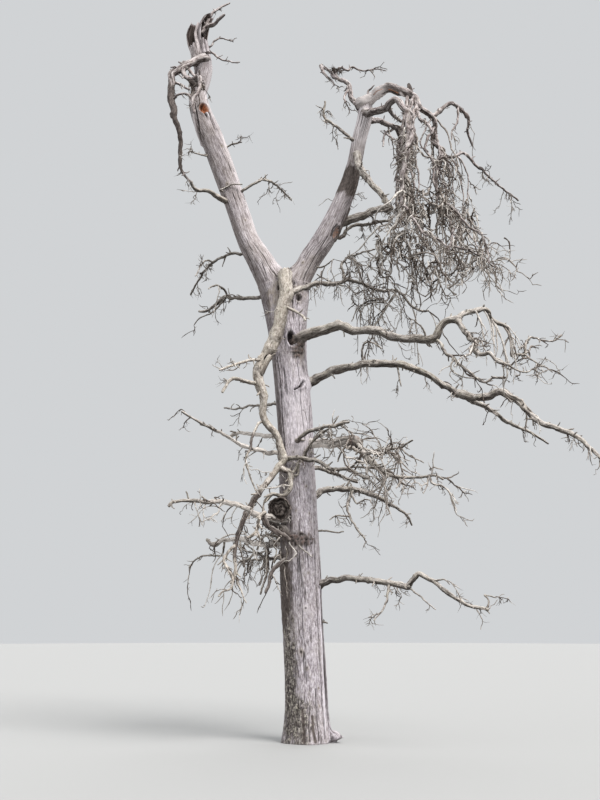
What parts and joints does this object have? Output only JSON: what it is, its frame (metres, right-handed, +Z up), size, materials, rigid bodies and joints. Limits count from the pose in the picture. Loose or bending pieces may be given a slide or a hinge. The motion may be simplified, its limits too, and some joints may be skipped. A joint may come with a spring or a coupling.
{
  "type": "dead pine tree",
  "caption": "Standing dead pine with a leaning, barkless trunk, a fork into a pair of leaders, a broken limb hanging from the fork, gnarled boughs and a hollow top.",
  "frame": {"origin": "Middle of the flat cut across the foot of the trunk, at ground level.", "axes": "+Z up, along the height of the tree. +X to the right and -Y towards the viewer in the front view."},
  "size_m": [5.9745, 3.7124, 11.4917],
  "materials": {
    "stem_wood": "barkless wood weathered silver grey, with long grain checks",
    "hung_wood": "barkless wood with a warm lichen tone",
    "bough_wood": "grey weathered wood, darker below",
    "crown_wood": "rough grey-brown wood with bark remains"
  },
  "bodies": {
    "root": {"trunk": "stem_wood", "left_leader": "stem_wood", "right_leader": "stem_wood", "top_left_bough": "crown_wood", "top_left_hanger": "crown_wood", "top_left_loop": "crown_wood", "top_prong": "crown_wood", "left_leader_low_bough": "bough_wood", "left_leader_foot_bough": "bough_wood", "left_bough_upper": "bough_wood", "left_bough_hidden": "bough_wood", "left_bough_middle": "bough_wood", "left_bough_middle_back": "bough_wood", "left_bough_low": "bough_wood", "left_bough_lowest": "bough_wood", "left_bough_lowest_back": "bough_wood", "hung_limb_upper": "hung_wood", "hung_limb_middle": "hung_wood", "hung_limb_tip": "hung_wood", "hung_limb_left_arm": "hung_wood", "right_bough_top": "bough_wood", "right_bough_top_outer": "bough_wood", "right_bough_top_rise": "bough_wood", "right_bough_upper": "bough_wood", "right_bough_upper_arm": "bough_wood", "right_bough_upper_drop": "bough_wood", "right_bough_upper_under": "bough_wood", "right_bough_upper_end": "bough_wood", "right_bough_long": "bough_wood", "right_bough_long_outer": "bough_wood", "right_bough_long_fork": "bough_wood", "right_bough_middle": "bough_wood", "right_bough_middle_outer": "bough_wood", "right_bough_middle_top": "bough_wood", "right_bough_centre": "bough_wood", "right_bough_centre_back": "bough_wood", "right_bough_low": "bough_wood", "right_bough_bottom": "bough_wood", "right_bough_bottom_outer": "bough_wood", "crown_left_bough": "crown_wood", "crown_left_fork": "crown_wood", "crown_top_bough": "crown_wood", "crown_right_bough": "crown_wood", "crown_middle_bough": "crown_wood", "crown_lower_bough": "crown_wood", "crown_far_bough": "crown_wood", "curtain_inner_stem": "crown_wood", "curtain_outer_stem": "crown_wood", "curtain_back_stem": "crown_wood", "crown_long_twig": "crown_wood", "right_leader_hooked_bough": "bough_wood", "right_leader_bark_bough": "bough_wood", "right_leader_low_bough": "bough_wood", "right_leader_gap_bough": "bough_wood", "back_bough_upper": "bough_wood", "back_bough_middle": "bough_wood", "back_bough_low": "bough_wood", "left_leader_back_bough": "bough_wood", "right_leader_back_bough": "bough_wood"}
  },
  "joints": []
}
